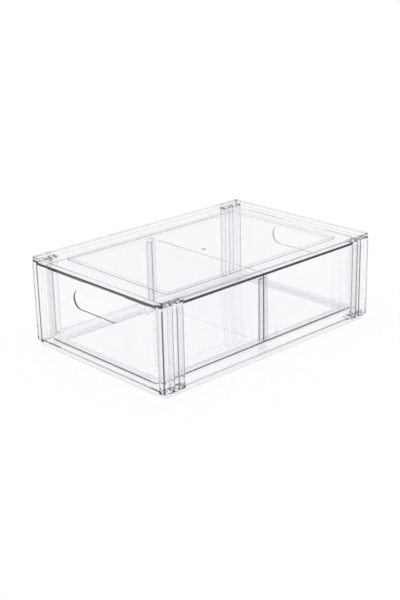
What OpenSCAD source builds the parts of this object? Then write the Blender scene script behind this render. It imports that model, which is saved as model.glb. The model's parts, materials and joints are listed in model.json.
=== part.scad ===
// Stackable drawer box: a clear case of a base, four corner legs and a top cover, with one drawer
// that slides through it and one divider that drops into the drawer.
// Origin: centre of the footprint, on the surface the unit stands on. +Z up, drawer front at -Y.

/* [Unit] */
// Width of the unit, side to side
unit_w = 225; // [180:5:280]
// Depth of the unit, front to back
unit_d = 333; // [250:1:420]
// Height of the unit, foot to top rim
unit_h = 108; // [85:1:160]

/* [Covers] */
// Thickness of the plates of the base and the top cover
plate_t = 2.5; // [2.2:0.1:3]
// Height that each rim stands past its plate
rim_h = 5.6; // [5.2:0.1:8]
// Thickness of the rims
rim_t = 2; // [1.8:0.1:2.2]
// Corner radius of the top cover, in plan
cover_r = 3; // [3:0.5:6]
// Corner radius of the base, in plan
base_r = 8.4; // [6:0.1:9]

/* [Rib frame] */
// Distance from the unit's side to the rib frame on the top cover
frame_margin_x = 26.1; // [20:0.1:40]
// Distance from the unit's front to the rib frame
frame_margin_y = 31.1; // [20:0.1:45]
// Height of the rib frame above its plate
frame_h = 3.1; // [2:0.1:3.4]
// Thickness of the rib frame
frame_t = 1.3; // [1:0.1:2]
// Corner radius of the rib frame, in plan
frame_r = 2.8; // [2.2:0.1:8]
// Diameter of the gate mark on the top cover
gate_d = 5.6; // [4:0.1:8]

/* [Base opening] */
// Distance from the unit's side to the opening in the base plate
open_margin_x = 32; // [28:0.1:34]
// Distance from the unit's front to the opening in the base plate
open_margin_y = 19.5; // [16:0.1:30]

/* [Stacking step] */
// Height of the step that locates one unit on the next
step_h = 1.2; // [0.8:0.1:1.6]
// Inset of the foot below the step
step_in = 0.9; // [0.7:0.1:1.1]
// Gap round the foot when one unit stands on another
stack_gap = 0.2; // [0.1:0.05:0.3]

/* [Corner legs] */
// Length of each leg along the side of the unit
leg_len = 29.7; // [28:0.1:36]
// Depth of each leg, from its outer face inwards
leg_depth = 8.2; // [7.8:0.1:10]
// Wall thickness of the legs
leg_wall = 2; // [1.6:0.1:2.2]
// Distance from the leg's end to its outer groove
groove_at = 14.8; // [13:0.1:16]
// Width of the outer groove
groove_w = 5.7; // [4:0.1:6]
// Length of the lip along the leg's inner face
lip_len = 9.4; // [6:0.1:10]
// Depth of the leg sockets in the base
base_socket = 3.1; // [2:0.1:3.2]
// Depth of the leg sockets in the top cover
cover_socket = 2.5; // [1:0.1:2.5]
// Thickness of the ledges that close the sockets at the legs' ends
ledge_t = 1.5; // [1.2:0.1:2]

/* [Drawer] */
// Gap between the drawer's sides and the legs
drawer_side_gap = 6.1; // [5:0.1:8]
// Distance from the unit's front to the drawer's front
drawer_setback = 3.1; // [1:0.1:4]
// Running gap under the drawer
drawer_lift = 0.3; // [0.3:0.1:0.6]
// Gap between the drawer's top edge and the top cover
drawer_top_gap = 2.4; // [1.5:0.1:8]
// Thickness of the drawer's walls
drawer_wall = 2; // [1.6:0.1:2.6]
// Thickness of the drawer's floor
drawer_floor = 2; // [1.6:0.1:3]
// Corner radius of the drawer, in plan
drawer_r = 14; // [12:0.5:20]
// Radius along the drawer's bottom edge
drawer_edge_r = 6.5; // [4:0.5:10]
// Length of the finger slots
slot_w = 81.5; // [60:0.5:100]
// Height of the finger slots
slot_h = 23; // [18:0.5:26]
// Distance from the drawer's top edge down to the finger slots
slot_drop = 11.3; // [8:0.1:18]

/* [Divider] */
// Thickness of the divider
divider_t = 1.8; // [1.4:0.1:2.2]
// Distance from the drawer's top edge down to the divider's
divider_drop = 3.8; // [2:0.1:12]
// Running gap round the divider
divider_gap = 0.3; // [0.3:0.05:0.5]
// Width of each pair of guide ribs, along the drawer
guide_w = 13.6; // [10:0.5:16]
// Distance that the guide ribs stand in from the drawer's wall
guide_depth = 2.6; // [2:0.1:6]
// Distance from the drawer's top edge down to the guide ribs
guide_drop = 8.5; // [6:0.5:14]

/* [Hidden] */
$fn = 64;

// Overshoot of a cut past the face it opens
cut = 1;
// Gap round a leg's end in its socket
fit_gap = 0.1;
// Solid left round a leg socket
socket_wall = 2;
// Radius of a leg's outer upright edge
leg_edge_r = 0.8;
// Depth of the gate mark
gate_h = 0.3;
// Radius at the top of each guide rib
guide_top_r = 2;

base_top = rim_h + plate_t;
cover_top = unit_h - rim_h;
cover_bottom = cover_top - plate_t;
leg_bottom = base_top - base_socket;
leg_top = cover_bottom + cover_socket;

drawer_w = unit_w - 2 * (leg_depth + drawer_side_gap);
drawer_d = unit_d - 2 * drawer_setback;
drawer_bottom = base_top + drawer_lift;
drawer_top = cover_bottom - drawer_top_gap;
drawer_h = drawer_top - drawer_bottom;

divider_w = drawer_w - 2 * (drawer_wall + divider_gap);
divider_bottom = drawer_bottom + drawer_floor + divider_gap;
divider_h = drawer_top - divider_drop - divider_bottom;
// The lower corners follow the bend inside the drawer's bottom edge
divider_corner_r = drawer_edge_r - drawer_wall;

// Rectangle of w by d, centred, with corners of radius r
module rounded_rect(w, d, r) {
    square([w - 2 * r, d], center = true);
    square([w, d - 2 * r], center = true);
    for (x = [-1, 1], y = [-1, 1])
        translate([x * (w / 2 - r), y * (d / 2 - r)])
            circle(r);
}

// Upright block of that outline, from z0 to z1
module block(w, d, r, z0, z1) {
    translate([0, 0, z0])
        linear_extrude(z1 - z0)
            rounded_rect(w, d, r);
}

// Outline with half-round ends, len along X by t
module oblong(len, t) {
    square([len - t, t], center = true);
    for (x = [-1, 1])
        translate([x * (len - t) / 2, 0])
            circle(t / 2);
}

// Puts its children at all four corners: there +X points in from the side and +Y in from the end
module at_corners() {
    for (x = [0, 1], y = [0, 1])
        mirror([x, 0, 0])
            mirror([0, y, 0])
                translate([-unit_w / 2, -unit_d / 2, 0])
                    children();
}

// Leg footprint from z0 to z1, made larger by grow on its inner sides
module leg_footprint(grow, z0, z1) {
    translate([-cut, -cut, z0])
        cube([leg_depth + grow + cut, leg_len + grow + cut, z1 - z0]);
}

// Solid round the four leg sockets, clipped to an outline with corners of radius r
module socket_blocks(r, z0, z1) {
    intersection() {
        block(unit_w, unit_d, r, z0, z1);
        at_corners() leg_footprint(socket_wall, z0, z1);
    }
}

// Base: an open plate over a hollow foot ring, with a socket at each corner for a leg
module base() {
    color([0.93, 0.95, 0.97, 0.45])
        difference() {
            union() {
                difference() {
                    block(unit_w, unit_d, base_r, step_h, base_top);
                    block(unit_w - 2 * rim_t, unit_d - 2 * rim_t, base_r - rim_t, 0, rim_h);
                }
                difference() {
                    block(unit_w - 2 * step_in, unit_d - 2 * step_in, base_r - step_in, 0, step_h);
                    block(unit_w - 2 * rim_t, unit_d - 2 * rim_t, base_r - rim_t, -cut, step_h + cut);
                }
                socket_blocks(base_r, leg_bottom - ledge_t, base_top);
            }
            translate([open_margin_x - unit_w / 2, open_margin_y - unit_d / 2, 0])
                cube([unit_w - 2 * open_margin_x, unit_d - 2 * open_margin_y, base_top + cut]);
            at_corners() leg_footprint(fit_gap, leg_bottom, base_top + cut);
        }
}

// Outline of a leg in plan, with its outer upright edge rounded
module leg_outline() {
    difference() {
        square([leg_depth, leg_len]);
        square(leg_edge_r);
    }
    translate([leg_edge_r, leg_edge_r])
        circle(leg_edge_r);
}

// Section of a leg: a skin folded into an outer groove, with a bay on each side of it
module leg_section() {
    groove_end = groove_at + groove_w;
    difference() {
        leg_outline();
        // outer groove
        translate([-cut, groove_at])
            square([leg_depth - leg_wall + cut, groove_w]);
        // hollow of the corner bay
        translate([leg_wall, leg_wall])
            square([leg_depth - 2 * leg_wall, groove_at - 2 * leg_wall]);
        // mouth of the corner bay, past the lip
        translate([leg_wall, lip_len])
            square([leg_depth, groove_at - leg_wall - lip_len]);
        // hollow of the inner bay, open on the drawer's side
        translate([leg_wall, groove_end + leg_wall])
            square([leg_depth, leg_len - groove_end - 2 * leg_wall]);
    }
}

// Leg at the corner where x and y have the signs sx and sy
module leg(sx, sy) {
    color([0.90, 0.92, 0.95, 0.45])
        mirror([sx > 0 ? 1 : 0, 0, 0])
            mirror([0, sy > 0 ? 1 : 0, 0])
                translate([-unit_w / 2, -unit_d / 2, leg_bottom])
                    linear_extrude(leg_top - leg_bottom)
                        leg_section();
}

// Rib frame that stands on the top cover's plate
module rib_frame() {
    frame_w = unit_w - 2 * frame_margin_x;
    frame_d = unit_d - 2 * frame_margin_y;
    difference() {
        block(frame_w, frame_d, frame_r, cover_bottom, cover_top + frame_h);
        block(frame_w - 2 * frame_t, frame_d - 2 * frame_t, frame_r - frame_t, cover_top,
              cover_top + frame_h + cut);
    }
}

// Top cover: a plate inside a raised rim, with a rib frame and a socket at each corner
module top_cover() {
    lip_t = step_in - stack_gap;
    color([0.94, 0.96, 0.98, 0.45])
        difference() {
            union() {
                difference() {
                    block(unit_w, unit_d, cover_r, cover_bottom, unit_h);
                    block(unit_w - 2 * rim_t, unit_d - 2 * rim_t, cover_r - rim_t, cover_top, unit_h + cut);
                }
                rib_frame();
                socket_blocks(cover_r, cover_bottom, leg_top + ledge_t);
            }
            // gate mark: a shallow dimple in the middle of the plate
            translate([0, 0, cover_top - gate_h])
                cylinder(h = gate_h + cut, d = gate_d);
            // step inside the rim for the foot of the unit above
            block(unit_w - 2 * lip_t, unit_d - 2 * lip_t, cover_r - lip_t, unit_h - step_h, unit_h + cut);
            at_corners() leg_footprint(fit_gap, cover_bottom - cut, leg_top);
        }
}

// Tub of w by d and height h, standing on z = 0, with upright edges of radius r and a bottom
// edge of radius e
module tub(w, d, h, r, e) {
    for (x = [-1, 1], y = [-1, 1])
        translate([x * (w / 2 - r), y * (d / 2 - r), 0])
            rotate_extrude()
                intersection() {
                    tub_profile(2 * r, h, e);
                    square([r, h]);
                }
    rotate([90, 0, 0])
        translate([0, 0, r - d / 2])
            linear_extrude(d - 2 * r)
                tub_profile(w, h, e);
    rotate([90, 0, 90])
        translate([0, 0, r - w / 2])
            linear_extrude(w - 2 * r)
                tub_profile(d, h, e);
}

// Upright section of a tub: width w, height h, lower corners of radius e
module tub_profile(w, h, e) {
    translate([-w / 2, e])
        square([w, h - e]);
    translate([e - w / 2, 0])
        square([w - 2 * e, e]);
    for (x = [-1, 1])
        translate([x * (w / 2 - e), e])
            circle(e);
}

// Pair of guide ribs seen along X: round at the top, with the divider's groove between them
module guide_outline(h) {
    groove = divider_t + 2 * divider_gap;
    difference() {
        translate([0, h])
            rotate(180)
                tub_profile(guide_w, h, guide_top_r);
        translate([-groove / 2, -cut])
            square([groove, h + 2 * cut]);
    }
}

// Outer shape of the drawer
module drawer_body() {
    translate([0, 0, drawer_bottom])
        tub(drawer_w, drawer_d, drawer_h, drawer_r, drawer_edge_r);
}

// Guide ribs on both side walls, from the middle of each wall inwards, cut to the drawer's bend
module drawer_guides() {
    reach = drawer_wall / 2 + guide_depth;
    intersection() {
        drawer_body();
        for (side = [0, 1])
            mirror([side, 0, 0])
                translate([drawer_w / 2 - drawer_wall - guide_depth, 0, drawer_bottom])
                    rotate([90, 0, 90])
                        linear_extrude(reach)
                            guide_outline(drawer_h - guide_drop);
    }
}

// Drawer: an open tub with a finger slot in its front and back and guide ribs for the divider
module drawer() {
    color([0.96, 0.97, 0.99, 0.4])
        difference() {
            union() {
                difference() {
                    drawer_body();
                    translate([0, 0, drawer_bottom + drawer_floor])
                        tub(drawer_w - 2 * drawer_wall, drawer_d - 2 * drawer_wall, drawer_h,
                            drawer_r - drawer_wall, drawer_edge_r - drawer_wall);
                }
                drawer_guides();
            }
            translate([0, 0, drawer_top - slot_drop - slot_h / 2])
                rotate([90, 0, 0])
                    translate([0, 0, -drawer_d / 2 - cut])
                        linear_extrude(drawer_d + 2 * cut)
                            oblong(slot_w, slot_h);
        }
}

// Divider: a plate across the drawer, held between the guide ribs
module divider() {
    color([0.95, 0.96, 0.98, 0.5])
        translate([0, divider_t / 2, divider_bottom])
            rotate([90, 0, 0])
                linear_extrude(divider_t)
                    tub_profile(divider_w, divider_h, divider_corner_r);
}

base();
leg(-1, -1);  // leg_front_left
leg(1, -1);  // leg_front_right
leg(-1, 1);  // leg_rear_left
leg(1, 1);  // leg_rear_right
top_cover();
drawer();
divider();
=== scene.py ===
import bpy
import json
import math
import numpy as np
from mathutils import Matrix, Vector


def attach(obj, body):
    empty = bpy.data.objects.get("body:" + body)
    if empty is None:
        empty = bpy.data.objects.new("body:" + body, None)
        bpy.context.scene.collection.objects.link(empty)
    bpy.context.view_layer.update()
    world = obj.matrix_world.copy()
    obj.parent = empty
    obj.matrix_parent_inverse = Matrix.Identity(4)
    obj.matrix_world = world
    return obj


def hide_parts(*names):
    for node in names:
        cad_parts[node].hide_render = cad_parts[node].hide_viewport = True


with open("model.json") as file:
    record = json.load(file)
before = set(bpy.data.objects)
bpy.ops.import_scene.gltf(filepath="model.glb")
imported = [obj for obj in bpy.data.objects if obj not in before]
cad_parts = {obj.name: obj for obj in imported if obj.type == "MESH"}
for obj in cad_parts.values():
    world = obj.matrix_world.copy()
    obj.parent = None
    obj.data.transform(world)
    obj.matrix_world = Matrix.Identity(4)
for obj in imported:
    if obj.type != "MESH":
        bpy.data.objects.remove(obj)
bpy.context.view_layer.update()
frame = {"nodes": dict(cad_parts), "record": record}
nodes = frame["nodes"]
mm = 0.001
print("stage: frame loaded,", len(nodes), "nodes")


def hexToLinear(code):
    # each sRGB channel c goes to c / 12.92 below 0.04045, else to ((c + 0.055) / 1.055) ^ 2.4
    parts = [int(code[i:i + 2], 16) / 255 for i in (1, 3, 5)]
    return tuple(c / 12.92 if c <= 0.04045 else ((c + 0.055) / 1.055) ** 2.4 for c in parts) + (1.0,)


def addNode(tree, kind, settings=None, links=None):
    # adds a node, gives it its settings (attributes or input values) and links its inputs
    node = tree.nodes.new(kind)
    for key, value in (settings or {}).items():
        if isinstance(key, int) or key in node.inputs:
            node.inputs[key].default_value = value
        else:
            setattr(node, key, value)
    for key, source in (links or {}).items():
        tree.links.new(source, node.inputs[key])
    return node


def placeParts(tree, place):
    # the place as |x|, |y| and z
    apart = addNode(tree, "ShaderNodeSeparateXYZ", None, {0: place.outputs["Object"]})
    parts = {"Z": apart.outputs["Z"]}
    for axis in ("X", "Y"):
        size = addNode(tree, "ShaderNodeMath", {"operation": "ABSOLUTE"}, {0: apart.outputs[axis]})
        parts[axis] = size.outputs[0]
    return parts


def bendTint(tree, look, place, real, tint):
    # painted shade for the drawer's bottom bend and upright corners.
    # facing is 1 - cosine of the angle to the eye. The bottom bend, where z is under bendTop and the
    # normal's z is under bendDown, is painted dark by (facing - bendFrom) / (bendTo - bendFrom), times
    # 1 - bendInside where it is seen from inside. The upright corners, past cornerX and cornerY, are painted
    # dark by cornerShare * (facing - cornerFrom) / (cornerTo - cornerFrom). The darker of the two is kept.
    parts = placeParts(tree, place)
    turn = addNode(tree, "ShaderNodeSeparateXYZ", None, {0: place.outputs["Normal"]})
    facing = addNode(tree, "ShaderNodeLayerWeight", {"Blend": 0.5})
    low = addNode(tree, "ShaderNodeMath", {"operation": "LESS_THAN", 1: look["bendTop"] * mm},
                  {0: parts["Z"]})
    down = addNode(tree, "ShaderNodeMath", {"operation": "LESS_THAN", 1: look["bendDown"]},
                   {0: turn.outputs["Z"]})
    lowDown = addNode(tree, "ShaderNodeMath", {"operation": "MULTIPLY"},
                      {0: low.outputs[0], 1: down.outputs[0]})
    outside = addNode(tree, "ShaderNodeMath", {"operation": "MULTIPLY_ADD", 1: -look["bendInside"], 2: 1.0},
                      {0: real.outputs["Backfacing"]})
    edgeOn = addNode(tree, "ShaderNodeMapRange", {"From Min": look["bendFrom"], "From Max": look["bendTo"]},
                     {0: facing.outputs["Facing"]})
    seen = addNode(tree, "ShaderNodeMath", {"operation": "MULTIPLY"},
                   {0: outside.outputs[0], 1: edgeOn.outputs[0]})
    bend = addNode(tree, "ShaderNodeMath", {"operation": "MULTIPLY"},
                   {0: lowDown.outputs[0], 1: seen.outputs[0]})
    outX = addNode(tree, "ShaderNodeMath", {"operation": "GREATER_THAN", 1: look["cornerX"] * mm},
                   {0: parts["X"]})
    outY = addNode(tree, "ShaderNodeMath", {"operation": "GREATER_THAN", 1: look["cornerY"] * mm},
                   {0: parts["Y"]})
    corner = addNode(tree, "ShaderNodeMath", {"operation": "MULTIPLY"},
                     {0: outX.outputs[0], 1: outY.outputs[0]})
    cornerOn = addNode(tree, "ShaderNodeMapRange",
                       {"From Min": look["cornerFrom"], "From Max": look["cornerTo"],
                        "To Max": look["cornerShare"]},
                       {0: facing.outputs["Facing"]})
    upright = addNode(tree, "ShaderNodeMath", {"operation": "MULTIPLY"},
                      {0: corner.outputs[0], 1: cornerOn.outputs[0]})
    darker = addNode(tree, "ShaderNodeMath", {"operation": "MAXIMUM"},
                     {0: bend.outputs[0], 1: upright.outputs[0]})
    return addNode(tree, "ShaderNodeMix", {"data_type": "RGBA", 7: hexToLinear(look["bend"])},
                   {0: darker.outputs[0], 6: tint.outputs[2]})


def gateTint(tree, look, place, tint):
    # the gate mark: greyer where sqrt(x^2 + y^2) is under half of gateSize
    flat = addNode(tree, "ShaderNodeVectorMath", {"operation": "MULTIPLY", 1: (1, 1, 0)},
                   {0: place.outputs["Object"]})
    away = addNode(tree, "ShaderNodeVectorMath", {"operation": "LENGTH"}, {0: flat.outputs[0]})
    inside = addNode(tree, "ShaderNodeMath", {"operation": "LESS_THAN", 1: look["gateSize"] / 2 * mm},
                     {0: away.outputs["Value"]})
    return addNode(tree, "ShaderNodeMix", {"data_type": "RGBA", 7: hexToLinear(look["gate"])},
                   {0: inside.outputs[0], 6: tint.outputs[2]})


def paintLineShade(tree, look, place, tint):
    # upright lines and bands of painted shade: each is painted dark by its share where one of |x|, |y| is
    # past the outer place, the other is within half the width of the line's place, and z is under lineTop
    parts = placeParts(tree, place)
    below = addNode(tree, "ShaderNodeMath", {"operation": "LESS_THAN", 1: look["lineTop"] * mm},
                    {0: parts["Z"]})
    for outerAxis, outer, axis, at, width, share in look["lines"]:
        out = addNode(tree, "ShaderNodeMath", {"operation": "GREATER_THAN", 1: outer * mm},
                      {0: parts[outerAxis]})
        near = addNode(tree, "ShaderNodeMath", {"operation": "COMPARE", 1: at * mm, 2: width / 2 * mm},
                       {0: parts[axis]})
        both = addNode(tree, "ShaderNodeMath", {"operation": "MULTIPLY"},
                       {0: out.outputs[0], 1: near.outputs[0]})
        shown = addNode(tree, "ShaderNodeMath", {"operation": "MULTIPLY"},
                        {0: both.outputs[0], 1: below.outputs[0]})
        dark = addNode(tree, "ShaderNodeMath", {"operation": "MULTIPLY", 1: share}, {0: shown.outputs[0]})
        tint = addNode(tree, "ShaderNodeMix", {"data_type": "RGBA", 7: hexToLinear(look["paintedLineShade"])},
                       {0: dark.outputs[0], 6: tint.outputs[2]})
    return tint


def clearMaterial(name, look):
    # moulded clear plastic: what the light loses on a path of length d is 1 - exp(-density (1 - body) d),
    # so a plate is clear through its faces and dark end-on. Edges, where the bevelled normal leaves the
    # real one, take a painted edge shade, grey drawn in place of the dark lines that refraction gives
    # there, and the faces follow slow flow waves. The looks that ask for them also get painted bend and
    # line shade, and the gate tint.
    material = bpy.data.materials.new(name)
    material.use_nodes = True
    tree = material.node_tree
    tree.nodes.clear()
    place = addNode(tree, "ShaderNodeTexCoord")
    flow = addNode(tree, "ShaderNodeTexNoise",
                   {"Scale": 1 / (look["flowSize"] * mm), "Detail": look["flowDetail"]},
                   {"Vector": place.outputs["Object"]})
    face = addNode(tree, "ShaderNodeMix", {"data_type": "RGBA", 6: hexToLinear(look["face"]),
                                           7: hexToLinear(look["faceSlow"])},
                   {0: flow.outputs["Fac"]})
    # painted edge shade mask: (1 - normal . bevelled normal) * gain
    real = addNode(tree, "ShaderNodeNewGeometry")
    bevelled = addNode(tree, "ShaderNodeBevel",
                       {"samples": look["edgeSamples"], "Radius": look["edgeSize"] * mm})
    agree = addNode(tree, "ShaderNodeVectorMath", {"operation": "DOT_PRODUCT"},
                    {0: real.outputs["Normal"], 1: bevelled.outputs[0]})
    differ = addNode(tree, "ShaderNodeMath", {"operation": "SUBTRACT", 0: 1.0}, {1: agree.outputs["Value"]})
    edge = addNode(tree, "ShaderNodeMath", {"operation": "MULTIPLY", 1: look["edgeGain"], "use_clamp": True},
                   {0: differ.outputs[0]})
    tint = addNode(tree, "ShaderNodeMix", {"data_type": "RGBA", 7: hexToLinear(look["edge"])},
                   {0: edge.outputs[0], 6: face.outputs[2]})
    if "bendTop" in look:
        tint = bendTint(tree, look, place, real, tint)
    if "lines" in look:
        tint = paintLineShade(tree, look, place, tint)
    if "gateSize" in look:
        tint = gateTint(tree, look, place, tint)
    plastic = addNode(tree, "ShaderNodeBsdfPrincipled",
                      {"IOR": look["ior"], "Transmission Weight": 1.0, "Roughness": look["roughness"]},
                      {"Base Color": tint.outputs[2]})
    # lamps' shadow rays and the floor's bounces go through as through a window
    light = addNode(tree, "ShaderNodeLightPath")
    passing = addNode(tree, "ShaderNodeMath", {"operation": "MAXIMUM"},
                      {0: light.outputs["Is Shadow Ray"], 1: light.outputs["Is Diffuse Ray"]})
    window = addNode(tree, "ShaderNodeBsdfTransparent", {"Color": hexToLinear(look["window"])})
    both = addNode(tree, "ShaderNodeMixShader", None,
                   {0: passing.outputs[0], 1: plastic.outputs[0], 2: window.outputs[0]})
    body = addNode(tree, "ShaderNodeVolumeAbsorption", {"Color": hexToLinear(look["body"]),
                                                        "Density": look["density"]})
    addNode(tree, "ShaderNodeOutputMaterial", None, {"Surface": both.outputs[0], "Volume": body.outputs[0]})
    return material


# Injection-moulded clear acrylic (PMMA): water-clear and glossy. The eye gets white faces, fine grey
# edges of painted shade, dark lines where a plate is seen end-on, and slow grey flow waves left by the melt.
# Places and sizes are in mm. Each entry of lines is the outer axis and how far out it starts, then the
# line's axis, place and width, and its share of the painted shade colour of the lines.
caseLook = {
    "face": "#FFFFFF", "faceSlow": "#FDFDFF",
    "flowSize": 60, "flowDetail": 2.0,        # across a wave, and its octaves
    # painted edge shade: grey laid on the edges in place of the dark lines that refraction draws there
    "edge": "#6C6F74", "edgeSize": 0.4, "edgeGain": 6.0, "edgeSamples": 4,
    "ior": 1.49, "roughness": 0.0,
    "body": "#7C7C8B", "density": 12.0,       # absorption per metre
    "window": "#FEFEFE",
}
# the cover: a dark upright tick of painted shade at each corner of its rim, darker painted edge shade, and
# the gate mark in the middle
coverLook = dict(caseLook, edge="#505359", edgeSize=0.5, density=15.0,
                 paintedLineShade="#17181D", lineTop=108.1,
                 lines=(("X", 110.6, "Y", 165.7, 2.2, 0.95),),
                 gate="#B4B6B9", gateSize=5.6)
# the base: a soft blue-grey band of painted shade all round the outside of its ring
baseLook = dict(caseLook, edge="#A4A6AB", density=9.0,
                paintedLineShade="#17195F", lineTop=8.2,
                lines=(("X", 110.8, "Y", 84.0, 168.0, 0.15), ("Y", 164.8, "X", 57.0, 114.0, 0.15)))
# a leg: dark lines of painted shade up its corner, its front end and the three edges of its outer side, and a
# soft band of painted shade over its inner bay
legLook = dict(caseLook, edge="#A4A6AB",
               paintedLineShade="#17181D", lineTop=99.0,
               lines=(("X", 111.3, "Y", 166.0, 1.6, 0.95), ("Y", 166.2, "X", 104.7, 0.8, 0.8),
                      ("X", 112.2, "Y", 152.2, 1.0, 0.8), ("X", 112.2, "Y", 145.5, 1.2, 0.9),
                      ("X", 112.2, "Y", 137.3, 1.0, 0.8), ("X", 110.4, "Y", 141.4, 9.4, 0.08)))
# the drawer: a dark line of painted shade along its bottom bend, painted shade on its corners, and a soft
# band of painted shade over the divider's guides
drawerLook = dict(caseLook, edge="#FFFFFF", density=7.0,
                  bend="#26282E", bendFrom=0.41, bendTo=0.49, bendTop=14.9, bendDown=-0.2, bendInside=0.8,
                  cornerX=84.2, cornerY=149.4, cornerFrom=0.6, cornerTo=0.95, cornerShare=0.5,
                  paintedLineShade="#17195F", lineTop=94.0,
                  lines=(("X", 93.3, "Y", 3.4, 6.8, 0.18),))
# the divider: grey painted edge shade along its edges
dividerLook = dict(caseLook, edge="#8A8D92", density=8.0)

pieceLooks = {
    "base": ("clearAcrylicBase", baseLook),
    "top_cover": ("clearAcrylicCover", coverLook),
    "leg_front_left": ("clearAcrylicLeg", legLook),
    "leg_front_right": ("clearAcrylicLeg", legLook),
    "leg_rear_left": ("clearAcrylicLeg", legLook),
    "leg_rear_right": ("clearAcrylicLeg", legLook),
    "drawer": ("clearAcrylicDrawer", drawerLook),
    "divider": ("clearAcrylicDivider", dividerLook),
}
materials = {}
for materialName, look in pieceLooks.values():
    if materialName not in materials:
        materials[materialName] = clearMaterial(materialName, look)
print("stage: materials,", len(materials))


# each moulding is a merged, smooth-shaded copy of its CAD node, so its bends refract as curves
mouldLook = {"weld": 0.00001, "smoothAngle": 25}  # metres, degrees


def mouldedCopy(nodeName, look):
    # points that round to the same multiple of weld become one, triangles that shrink to a line go,
    # and faces that meet under smoothAngle are shaded as one surface
    source = nodes[nodeName].data
    points = np.empty(len(source.vertices) * 3)
    source.vertices.foreach_get("co", points)
    corners = np.empty(len(source.loops), dtype=np.int32)
    source.loops.foreach_get("vertex_index", corners)
    points = points.reshape(-1, 3)
    _, first, merged = np.unique(np.round(points / look["weld"]).astype(np.int64), axis=0,
                                 return_index=True, return_inverse=True)
    triangles = merged.reshape(-1)[corners].reshape(-1, 3)
    a, b, c = triangles.T
    triangles = triangles[(a != b) & (b != c) & (a != c)]
    mesh = bpy.data.meshes.new(nodeName + "Moulding")
    mesh.from_pydata(points[first], [], triangles)
    mesh.polygons.foreach_set("use_smooth", np.ones(len(triangles), dtype=bool))
    mesh.set_sharp_from_angle(angle=math.radians(look["smoothAngle"]))
    mesh.update()
    piece = bpy.data.objects.new(nodeName + "Moulding", mesh)
    bpy.context.scene.collection.objects.link(piece)
    return piece


bodyOf = {name: body for body, names in frame["record"]["behaviour"]["bodies"].items() for name in names}
for nodeName, (materialName, look) in pieceLooks.items():
    piece = mouldedCopy(nodeName, mouldLook)
    piece.data.materials.clear()
    piece.data.materials.append(materials[materialName])
    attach(piece, bodyOf[nodeName])
    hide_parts(nodeName)
print("stage: mouldings,", len(pieceLooks))


floorLook = {
    "size": 12.0,          # metres
    "colour": "#FFFFFF",
    "white": 0.8,          # share of plain backdrop white that the eye sees
}


def buildFloor(look):
    # one square at z = 0, centred on the origin
    half = look["size"] / 2
    mesh = bpy.data.meshes.new("floor")
    mesh.from_pydata([(-half, -half, 0), (half, -half, 0), (half, half, 0), (-half, half, 0)],
                     [], [(0, 1, 2, 3)])
    floor = bpy.data.objects.new("floor", mesh)
    bpy.context.scene.collection.objects.link(floor)
    # matt paper: an even white without shine
    material = bpy.data.materials.new("paperFloor")
    material.use_nodes = True
    tree = material.node_tree
    tree.nodes.clear()
    paper = addNode(tree, "ShaderNodeBsdfDiffuse", {"Color": hexToLinear(look["colour"])})
    # seen straight, mirrored or through the plastic it is partly plain white, and keeps a soft shadow
    light = addNode(tree, "ShaderNodeLightPath")
    mirrored = addNode(tree, "ShaderNodeMath", {"operation": "MAXIMUM"},
                       {0: light.outputs["Is Camera Ray"], 1: light.outputs["Is Glossy Ray"]})
    seen = addNode(tree, "ShaderNodeMath", {"operation": "MAXIMUM"},
                   {0: mirrored.outputs[0], 1: light.outputs["Is Transmission Ray"]})
    share = addNode(tree, "ShaderNodeMath", {"operation": "MULTIPLY", 1: look["white"]}, {0: seen.outputs[0]})
    plain = addNode(tree, "ShaderNodeEmission", {"Strength": 1.0})
    surface = addNode(tree, "ShaderNodeMixShader", None,
                      {0: share.outputs[0], 1: paper.outputs[0], 2: plain.outputs[0]})
    addNode(tree, "ShaderNodeOutputMaterial", None, {"Surface": surface.outputs[0]})
    mesh.materials.append(material)


buildFloor(floorLook)

# even white light from all round, as in a light tent
world = bpy.data.worlds.new("studio")
bpy.context.scene.world = world
world.use_nodes = True
background = world.node_tree.nodes["Background"]
background.inputs["Color"].default_value = (1, 1, 1, 1)
background.inputs["Strength"].default_value = 1.0
print("stage: floor and light")


cameraLook = {
    "lens": 68.16,         # mm
    "sensor": 36,          # mm along the long side
    "azimuth": 47.03,      # degrees round from the front
    "elevation": 20.44,
    "roll": -0.0223,       # radians
    "place": (928.5, -873.0, 513.2),  # mm
    "clip": (0.01, 50),    # metres
}


def buildCamera(look):
    # the view axis comes from azimuth and elevation; right and up are then turned about it by the roll
    a, e, r = math.radians(look["azimuth"]), math.radians(look["elevation"]), look["roll"]
    back = Vector((math.sin(a) * math.cos(e), -math.cos(a) * math.cos(e), math.sin(e)))
    right = Vector((math.cos(a), math.sin(a), 0))
    up = back.cross(right)
    tiltedRight = math.cos(r) * right + math.sin(r) * up
    tiltedUp = -math.sin(r) * right + math.cos(r) * up
    data = bpy.data.cameras.new("camera")
    camera = bpy.data.objects.new("camera", data)
    bpy.context.scene.collection.objects.link(camera)
    data.lens = look["lens"]
    data.sensor_width = look["sensor"]
    data.dof.use_dof = False
    data.clip_start, data.clip_end = look["clip"]
    camera.matrix_world = Matrix.Translation(Vector(look["place"]) * mm) @ \
        Matrix((tiltedRight, tiltedUp, back)).transposed().to_4x4()
    bpy.context.scene.camera = camera


buildCamera(cameraLook)
bpy.context.scene.view_settings.view_transform = "Standard"
# light is followed far enough to get down the length of a plate
lightSteps = 48
cycles = bpy.context.scene.cycles
cycles.max_bounces = lightSteps
cycles.transmission_bounces = lightSteps
cycles.glossy_bounces = lightSteps
cycles.transparent_max_bounces = lightSteps
print("stage: camera")
